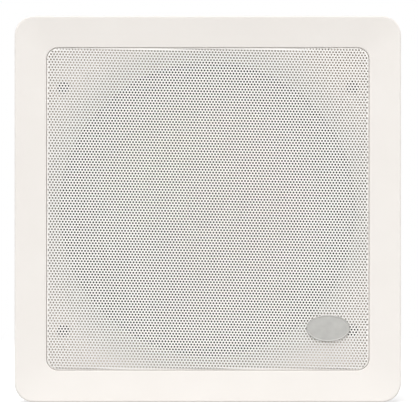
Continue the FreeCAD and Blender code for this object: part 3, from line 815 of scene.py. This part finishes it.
def screwTree(slot):
    sizes = {name: 1.0 for name in screws["clamp"]}
    tree = newTree("screw", {**sizes, "Length": 1.0, "Lead In": 1.0, "Turned": 1.0, "Steps": 1, "Sides": 1})
    given = addNode(tree, "NodeGroupInput").outputs

    def rod(sides, steps, depth, middle):
        plain = addNode(tree, "GeometryNodeMeshCylinder",
                        {"Vertices": sides, "Side Segments": steps, "Radius": 1.0, "Depth": depth}).outputs[0]
        return moved(tree, plain, {"Translation": vectorFrom(tree, {"Z": middle})})

    def swell(shape, spot, radius):
        # a rod of radius 1, drawn to the radius given at each level
        across = {axis: maths(tree, "MULTIPLY", spot[axis], radius) for axis in "XY"}
        out = vectorFrom(tree, {**across, "Z": spot["Z"]})
        return addNode(tree, "GeometryNodeSetPosition", {"Geometry": shape, "Position": out}).outputs[0]

    # thread: a ridge that climbs one thread per turn and runs out at the tip
    depth = maths(tree, "ADD", given["Length"], given["Lead In"])
    middle = maths(tree, "MULTIPLY", maths(tree, "SUBTRACT", given["Length"], given["Lead In"]), 0.5)
    shank = rod(given["Sides"], given["Steps"], depth, middle)
    spot = pointPlace(tree)
    turn = maths(tree, "DIVIDE", maths(tree, "ARCTAN2", spot["Y"], spot["X"]), 2 * math.pi)
    climb = maths(tree, "DIVIDE", spot["Z"], given["Thread"])
    phase = maths(tree, "FRACT", maths(tree, "SUBTRACT", climb, turn))
    ridge = maths(tree, "ABSOLUTE", maths(tree, "SUBTRACT", maths(tree, "MULTIPLY", phase, 2.0), 1.0))
    ridge = maths(tree, "MINIMUM", maths(tree, "MULTIPLY", ridge, screws["crestFlat"]), 1.0)
    left = maths(tree, "DIVIDE", maths(tree, "SUBTRACT", given["Length"], spot["Z"]), given["Tip"])
    left = maths(tree, "MAXIMUM", maths(tree, "MINIMUM", left, 1.0), 0.0)
    height = maths(tree, "MULTIPLY", maths(tree, "SUBTRACT", given["Crest"], given["Root"]), ridge)
    radius = maths(tree, "ADD", given["Root"], maths(tree, "MULTIPLY", height, left))
    taper = maths(tree, "MULTIPLY", left, 1 - screws["tipShare"])
    radius = maths(tree, "MULTIPLY", radius, maths(tree, "ADD", taper, screws["tipShare"]))
    shank = swell(shank, spot, radius)
    # head: domed towards its top, with a cross sunk in
    top = maths(tree, "MULTIPLY", given["Head Height"], -1.0)
    head = rod(screws["headSides"], screws["headSteps"], given["Head Height"],
               maths(tree, "MULTIPLY", top, 0.5))
    spot = pointPlace(tree)
    rise = maths(tree, "POWER", maths(tree, "DIVIDE", spot["Z"], top), 3.0)
    lost = maths(tree, "MULTIPLY", rise, screws["headTaper"])
    radius = maths(tree, "MULTIPLY", given["Head"], maths(tree, "SUBTRACT", 1.0, lost))
    head = swell(head, spot, radius)
    bars = []
    for along, across in (("X", "Y"), ("Y", "X")):
        halves = {along: given["Cross Length"], across: given["Cross Width"], "Z": given["Cross Depth"]}
        size = vectorFrom(tree, {axis: maths(tree, "MULTIPLY", half, 2.0) for axis, half in halves.items()})
        bar = addNode(tree, "GeometryNodeMeshCube", {"Size": size}).outputs[0]
        bars.append(moved(tree, bar, {"Translation": vectorFrom(tree, {"Z": top})}))
    screw = cutSolid(tree, solidsBy(tree, "UNION", shank, head), *bars)
    # a quarter turn lays the screw along Y
    screw = moved(tree, screw, {"Rotation": vectorFrom(tree, {"X": given["Turned"]})})
    each = addNode(tree, "GeometryNodeInstanceOnPoints", {"Points": given["Geometry"], "Instance": screw})
    paintedOut(tree, each.outputs[0], slot)
    return tree


def addScrews(node, kind, columns, rows, headAtFront):
    # columns and rows are the X and Z of the screws' places
    low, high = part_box(node)
    size, leadIn = screws[kind], screws["leadIn"]
    shank = high.y - low.y - size["Head Height"]
    seat = low.y + size["Head Height"] if headAtFront else high.y - size["Head Height"]
    points = bpy.data.meshes.new("places")
    points.from_pydata([(x, seat, z) for x in columns for z in rows], [], [])
    turns = (shank + leadIn) / size["Thread"]
    mesh = runTree(screwTree(slotOf[node]), points, {
        **size, "Length": shank, "Lead In": leadIn, "Turned": math.radians(-90 if headAtFront else 90),
        "Steps": int(turns * screws["stepsPerTurn"]), "Sides": screws["sides"],
    })
    keepPiece(node + "_cut", mesh, node, smoothBelow=40)
    print(node, "faces", len(mesh.polygons))


for node in sorted(name for name in nodes if name.startswith("clamp_screw")):
    low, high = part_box(node)
    addScrews(node, "clamp", [(low.x + high.x) / 2], [(low.z + high.z) / 2], True)
for node, kind, headAtFront in (("driver_screws", "driver", True), ("board_screws", "board", False)):
    low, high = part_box(node)
    head = screws[kind]["Head"]
    rows = {low.z + head, high.z - head} if headAtFront else {(low.z + high.z) / 2}
    addScrews(node, kind, [low.x + head, high.x - head], sorted(rows), headAtFront)
print("screws made")


# Inductor: enamelled wire wound round the bobbin, an inner mass and the outer layer turn by turn
winding = {
    "core": 4.0 * mm,
    "Wire": 0.3 * mm,
    "Turns": 12.0,
    "layerSink": 0.15 * mm,  # how deep the outer layer beds into the turns below
    "stepsPerTurn": 32,
    "wireSides": 8,
    "massSides": 48,
}


def windingTree(slot):
    sizes = ("Turns", "Wire", "Radius", "Height", "X", "Y", "Z")
    tree = newTree("winding", {name: 1.0 for name in sizes})
    given = addNode(tree, "NodeGroupInput").outputs
    path = addNode(tree, "GeometryNodeCurveSpiral", {
        "Resolution": winding["stepsPerTurn"], "Rotations": given["Turns"], "Height": given["Height"],
        "Start Radius": given["Radius"], "End Radius": given["Radius"],
    }).outputs[0]
    section = addNode(tree, "GeometryNodeCurvePrimitiveCircle",
                      {"Resolution": winding["wireSides"], "Radius": given["Wire"]}).outputs[0]
    wire = addNode(tree, "GeometryNodeCurveToMesh",
                   {"Curve": path, "Profile Curve": section, "Fill Caps": True}).outputs[0]
    start = vectorFrom(tree, {axis: given[axis] for axis in "XYZ"})
    wire = moved(tree, wire, {"Translation": start, "Rotation": (math.radians(-90), 0, 0)})
    joined = addNode(tree, "GeometryNodeJoinGeometry")
    tree.links.new(given["Geometry"], joined.inputs[0])
    tree.links.new(wire, joined.inputs[0])
    paintedOut(tree, joined.outputs[0], slot)
    return tree


def addWinding():
    node = "inductor_winding"
    low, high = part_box(node)
    centre = (low + high) / 2
    wire = winding["Wire"]
    outer = (high.x - low.x) / 2
    half = (high.y - low.y) / 2
    inner = outer - 2 * wire + winding["layerSink"]
    core = winding["core"]
    section = [(core, -half), (inner, -half), (inner, half), (core, half)]
    mass = stackLoops(turnedLoops(section, centre, winding["massSides"]), ring=True)
    mesh = runTree(windingTree(slotOf[node]), mass, {
        "Turns": winding["Turns"], "Wire": wire, "Radius": outer - wire, "Height": 2 * (half - wire),
        "X": centre.x, "Y": low.y + wire, "Z": centre.z,
    })
    keepPiece("inductor_wire", mesh, node, smoothBelow=50)


addWinding()


# Nut on the tweeter's post: a hexagon with its corners turned off
nut = {
    "flats": 11.0 * mm,
    "chamferAngle": 30,
    "bore": 3.2 * mm,
    "faceRadius": 5.2 * mm,
    "around": 72,
    "chamferSteps": 4,
}


def addNut():
    low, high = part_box("post_nut")
    centre = (low + high) / 2
    corner = nut["flats"] / math.sqrt(3)
    depth = (corner - nut["faceRadius"]) * math.tan(math.radians(nut["chamferAngle"]))
    turn = 0 if high.x - low.x > high.z - low.z else math.pi / 6  # corners where the solid has them

    def loop(level, limit):
        points = []
        for step in range(nut["around"]):
            angle = 2 * math.pi * step / nut["around"]
            offFlat = (angle + turn) % (math.pi / 3) - math.pi / 6
            radius = min(limit, nut["flats"] / 2 / math.cos(offFlat))
            points.append((centre.x + radius * math.cos(angle), level, centre.z + radius * math.sin(angle)))
        return points

    shares = [step / nut["chamferSteps"] for step in range(nut["chamferSteps"] + 1)]
    limits = [(share * depth, nut["faceRadius"] + share * (corner - nut["faceRadius"])) for share in shares]
    loops = [loop(low.y, nut["bore"])]
    loops += [loop(low.y + sink, limit) for sink, limit in limits]
    loops += [loop(high.y - sink, limit) for sink, limit in reversed(limits)]
    loops += [loop(high.y, nut["bore"])]
    keepPiece("post_nut_hex", stackLoops(loops, ring=True), "post_nut", smoothBelow=25)


addNut()


# Crossover parts: the wrapped capacitor with its resin ends, and the leads that stand parts on the board
crossover = {
    "resinSink": 0.5 * mm,
    "resinMiddle": 0.0002 * mm,  # radius of the innermost loop, not quite a point
    "wrapRound": 0.8 * mm,
    "wrapSides": 40,
    "leadFinish": "zinc_steel",
    "leadRadius": 0.35 * mm,
    "leadReach": 2.0 * mm,  # from a part's end to the bend
    "padRadius": 1.1 * mm,
    "padHeight": 0.45 * mm,
    "padSides": 16,
}


def addCapacitor():
    low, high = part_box("crossover_capacitor")
    centre = (low + high) / 2
    half, radius = (high.x - low.x) / 2, (high.y - low.y) / 2
    soft, sink = crossover["wrapRound"], crossover["resinSink"]
    # from the middle of the sunk resin out over the wrap's rounded lip
    end = [(crossover["resinMiddle"], half - sink), (radius - 2.0 * soft, half - sink)]
    end += [(radius - 1.5 * soft, half - 0.3 * sink), (radius - soft, half)]
    end += [(radius - 0.5 * soft, half - 0.1 * soft), (radius - 0.15 * soft, half - 0.4 * soft)]
    end += [(radius, half - soft)]
    profile = [(r, -along) for r, along in end] + [(r, along) for r, along in reversed(end)]
    loops = turnedLoops(profile, centre, crossover["wrapSides"], "X")
    keepPiece("capacitor_wrap", stackLoops(loops), "crossover_capacitor", smoothBelow=40)


def addLeads():
    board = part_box("crossover_board")[1].y
    curve = bpy.data.curves.new("leads", "CURVE")
    curve.dimensions = "3D"
    curve.bevel_depth = crossover["leadRadius"]
    curve.bevel_resolution = 2
    curve.resolution_u = 6
    curve.use_fill_caps = True
    feet = []
    for node in ("crossover_capacitor", "crossover_resistor"):
        low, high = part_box(node)
        centre = (low + high) / 2
        for end, way in ((low.x, -1), (high.x, 1)):
            foot = Vector((end + way * crossover["leadReach"], board, centre.z))
            route = [(end - way * crossover["leadReach"], centre.y, centre.z), (end, centre.y, centre.z),
                     (foot.x, centre.y, centre.z), (foot.x, (centre.y + board) / 2, foot.z), tuple(foot)]
            spline = curve.splines.new("NURBS")
            spline.points.add(len(route) - 1)
            for point, spot in zip(spline.points, route):
                point.co = (*spot, 1)
            spline.order_u = 3
            spline.use_endpoint_u = True
            feet.append(foot)
    joined = bmesh.new()
    joined.from_mesh(plainMesh(bpy.data.objects.new("leads", curve)))
    reach, rise = crossover["padRadius"], crossover["padHeight"]
    solder = [(reach, 0), (0.8 * reach, 0.35 * rise), (0.5 * reach, rise)]
    for foot in feet:
        joined.from_mesh(stackLoops(turnedLoops(solder, foot, crossover["padSides"])))
    mesh = bpy.data.meshes.new("leads")
    joined.to_mesh(mesh)
    joined.free()
    leads = showMesh("crossover_leads", mesh, crossover["leadFinish"], smoothBelow=180)
    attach(leads, nodes["crossover_board"]["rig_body"])


addCapacitor()
addLeads()
print("rear pieces made")


# Soft rings of the woofer, which give between the frame and the cone: a rubber half roll and a pleated cloth
softRings = {
    "around": 96,
    "surround": {"outer": 80.0 * mm, "fixed": 76.5 * mm, "moving": 66.5 * mm, "inner": 63.0 * mm,
                 "sheet": 0.8 * mm, "steps": 14},
    "spider": {"outer": 45.5 * mm, "fixed": 38.5 * mm, "moving": 15.0 * mm, "inner": 13.2 * mm,
               "sheet": 0.8 * mm, "steps": 48, "pleat": 8.0 * mm, "height": 1.6 * mm, "crest": 35.0 * mm},
}


def addSoftRing(node, profile):
    # beyond the fixed radius it stays with the frame, within the moving one it goes with the cone
    size = softRings[node]
    mesh = stackLoops(turnedLoops(profile, (0, 0, 0), softRings["around"]), ring=True)
    piece = showMesh(node + "_flexing", mesh, slotOf[node], smoothBelow=50)
    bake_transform(piece, nodes["basket"]["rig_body"], nodes["cone"]["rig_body"],
             start=(size["fixed"], 0, 0), end=(size["moving"], 0, 0))
    # the same smooth share as along X, all the way round
    span = size["fixed"] - size["moving"]
    shares = [(size["fixed"] - math.hypot(v.co.x, v.co.z)) / span for v in mesh.vertices]
    shares = [min(max(share, 0.0), 1.0) for share in shares]
    mesh.attributes["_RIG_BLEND"].data.foreach_set("value", [share ** 2 * (3 - 2 * share) for share in shares])
    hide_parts(node)


def addSurround():
    size = softRings["surround"]
    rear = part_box("surround")[1].y
    front = rear - size["sheet"]
    middle, reach = (size["fixed"] + size["moving"]) / 2, (size["fixed"] - size["moving"]) / 2
    turns = [math.pi * step / size["steps"] for step in range(size["steps"] + 1)]
    profile = [(size["outer"], front)]
    profile += [(middle + reach * math.cos(turn), front - reach * math.sin(turn)) for turn in turns]
    profile += [(size["inner"], front), (size["inner"], rear), (size["moving"], rear)]
    hollow = reach - size["sheet"]
    profile += [(middle + hollow * math.cos(turn), rear - reach * math.sin(turn)) for turn in reversed(turns)]
    addSoftRing("surround", profile + [(size["fixed"], rear), (size["outer"], rear)])


def addSpider():
    size = softRings["spider"]
    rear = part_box("spider")[1].y
    upper = [(size["outer"], rear - size["sheet"])]
    for step in range(size["steps"] + 1):
        radius = size["fixed"] + (size["moving"] - size["fixed"]) * step / size["steps"]
        rise = size["height"] / 2 * (1 + math.cos(2 * math.pi * (radius - size["crest"]) / size["pleat"]))
        upper.append((radius, rear - size["sheet"] - rise))
    upper.append((size["inner"], rear - size["sheet"]))
    lower = [(radius, depth + size["sheet"]) for radius, depth in reversed(upper)]
    addSoftRing("spider", upper + lower)


addSurround()
addSpider()
print("soft rings made")
